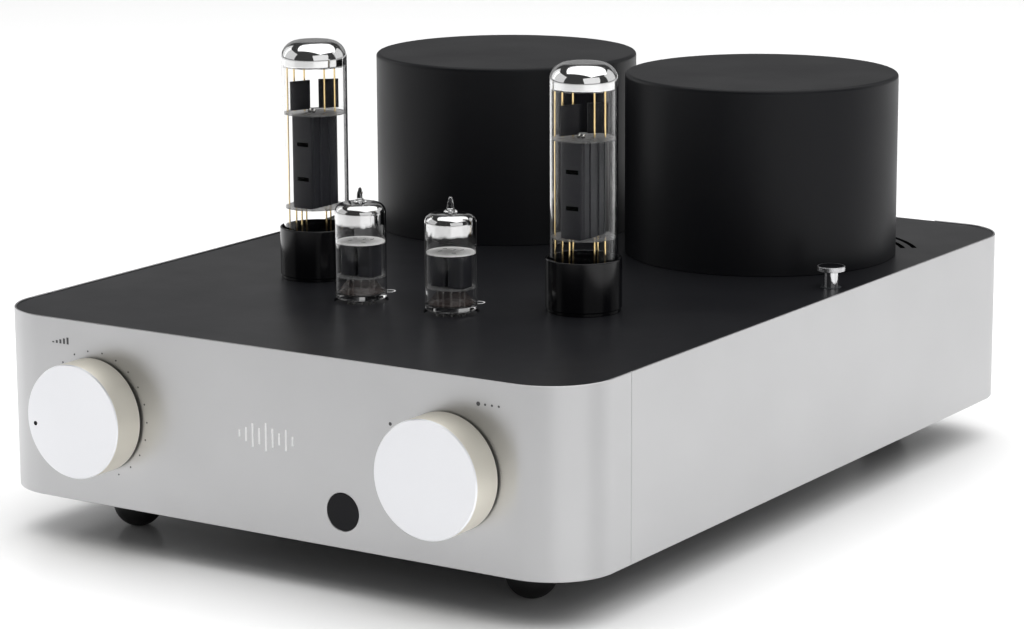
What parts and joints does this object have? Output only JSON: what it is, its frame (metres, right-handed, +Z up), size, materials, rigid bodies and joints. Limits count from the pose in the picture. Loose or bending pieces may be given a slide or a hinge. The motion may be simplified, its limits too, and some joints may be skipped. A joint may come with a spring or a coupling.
{
  "type": "valve amplifier",
  "caption": "Integrated valve stereo amplifier: satin aluminium band with round knobs, black top plate, plug-in valves and round black transformer covers at the rear.",
  "frame": {"origin": "on the table, under the middle of the whole amplifier's box", "axes": "+X to the right seen from the front, +Y from front to back, +Z up"},
  "size_m": [0.2986, 0.4366, 0.2062],
  "materials": {
    "band_aluminium": "fine-blasted clear anodised",
    "plate_black": "satin black",
    "cover_black": "satin black",
    "steel": "zinc plated",
    "screw_black": "black oxide",
    "foot_rubber": "matt",
    "window_black": "polished",
    "circuit_board": "satin",
    "toroid_winding": "wrapped in polyester film",
    "pad_rubber": "matt",
    "valve_glass": "clear",
    "valve_base_black": "satin moulded",
    "pin_metal": "plated",
    "anode_grey": "carbonised, matt",
    "mica_white": "matt",
    "rod_copper": "drawn",
    "socket_black": "moulded",
    "contact_gold": "plated",
    "knob_aluminium": "fine-turned clear anodised",
    "switch_grey": "moulded",
    "button_chrome": "polished",
    "inlet_black": "moulded",
    "jack_gold": "plated",
    "cap_black": "moulded",
    "cap_red": "moulded"
  },
  "bodies": {
    "chassis": {"front_fascia": "band_aluminium", "left_side_panel": "band_aluminium", "right_side_panel": "band_aluminium", "top_plate": "plate_black", "bottom_plate": "plate_black", "rear_panel": "plate_black", "seam_brackets": "steel", "frame_posts": "steel", "chassis_screws": "screw_black", "feet": "foot_rubber", "foot_screws": "steel", "receiver_window": "window_black", "receiver_board": "circuit_board", "transformer_cover_left": "cover_black", "transformer_cover_right": "cover_black", "output_toroid_left": "toroid_winding", "output_toroid_right": "toroid_winding", "toroid_washers": "pad_rubber", "toroid_bolts": "steel", "mains_toroid": "toroid_winding", "octal_sockets": "socket_black", "noval_sockets": "socket_black", "socket_contacts": "contact_gold", "volume_pot": "switch_grey", "selector_switch": "switch_grey", "power_switch": "switch_grey", "mains_inlet": "inlet_black", "input_jacks": "jack_gold", "speaker_posts": "jack_gold", "main_board": "circuit_board"},
    "power_valve_left": {"power_valve_left_bulb": "valve_glass", "power_valve_left_base": "valve_base_black", "power_valve_left_pins": "pin_metal", "power_valve_left_anode": "anode_grey", "power_valve_left_micas": "mica_white", "power_valve_left_rods": "rod_copper"},
    "small_valve_left": {"small_valve_left_bulb": "valve_glass", "small_valve_left_pins": "pin_metal", "small_valve_left_anodes": "anode_grey", "small_valve_left_micas": "mica_white"},
    "power_valve_right": {"power_valve_right_bulb": "valve_glass", "power_valve_right_base": "valve_base_black", "power_valve_right_pins": "pin_metal", "power_valve_right_anode": "anode_grey", "power_valve_right_micas": "mica_white", "power_valve_right_rods": "rod_copper"},
    "small_valve_right": {"small_valve_right_bulb": "valve_glass", "small_valve_right_pins": "pin_metal", "small_valve_right_anodes": "anode_grey", "small_valve_right_micas": "mica_white"},
    "volume_knob": {"volume_knob": "knob_aluminium", "volume_shaft": "steel"},
    "source_knob": {"source_knob": "knob_aluminium", "source_shaft": "steel"},
    "power_button": {"power_button": "button_chrome"},
    "fuse_drawer": {"fuse_drawer": "inlet_black"},
    "post_cap_1": {"post_cap_1": "cap_red"},
    "post_cap_2": {"post_cap_2": "cap_black"},
    "post_cap_3": {"post_cap_3": "cap_red"},
    "post_cap_4": {"post_cap_4": "cap_black"}
  },
  "joints": [
    {"name": "power_valve_left_lift", "type": "slide", "parent": "chassis", "child": "power_valve_left", "axis": [0, 0, 1], "range_m": [0, 0.025]},
    {"name": "power_valve_right_lift", "type": "slide", "parent": "chassis", "child": "power_valve_right", "axis": [0, 0, 1], "range_m": [0, 0.025]},
    {"name": "small_valve_left_lift", "type": "slide", "parent": "chassis", "child": "small_valve_left", "axis": [0, 0, 1], "range_m": [0, 0.02]},
    {"name": "small_valve_right_lift", "type": "slide", "parent": "chassis", "child": "small_valve_right", "axis": [0, 0, 1], "range_m": [0, 0.02]},
    {"name": "volume_turn", "type": "hinge", "parent": "chassis", "child": "volume_knob", "pos_m": [-0.0897, -0.20335, 0.06], "axis": [0, 1, 0], "range_deg": [-52, 248]},
    {"name": "source_turn", "type": "hinge", "parent": "chassis", "child": "source_knob", "pos_m": [0.0897, -0.20335, 0.06], "axis": [0, 1, 0], "range_deg": [-60, 0]},
    {"name": "power_press", "type": "slide", "parent": "chassis", "child": "power_button", "axis": [0, 0, -1], "range_m": [0, 0.003], "stiffness_N_per_m": 300, "springref_m": -0.003},
    {"name": "fuse_drawer_slide", "type": "slide", "parent": "chassis", "child": "fuse_drawer", "axis": [0, 1, 0], "range_m": [0, 0.014]},
    {"name": "post_cap_1_turn", "type": "hinge", "parent": "chassis", "child": "post_cap_1", "pos_m": [-0.094, 0.19945, 0.0585], "axis": [0, 1, 0], "range_deg": [0, 360]},
    {"name": "post_cap_2_turn", "type": "hinge", "parent": "chassis", "child": "post_cap_2", "pos_m": [-0.075, 0.19945, 0.0585], "axis": [0, 1, 0], "range_deg": [0, 360]},
    {"name": "post_cap_3_turn", "type": "hinge", "parent": "chassis", "child": "post_cap_3", "pos_m": [0.018, 0.19945, 0.0585], "axis": [0, 1, 0], "range_deg": [0, 360]},
    {"name": "post_cap_4_turn", "type": "hinge", "parent": "chassis", "child": "post_cap_4", "pos_m": [0.037, 0.19945, 0.0585], "axis": [0, 1, 0], "range_deg": [0, 360]}
  ]
}
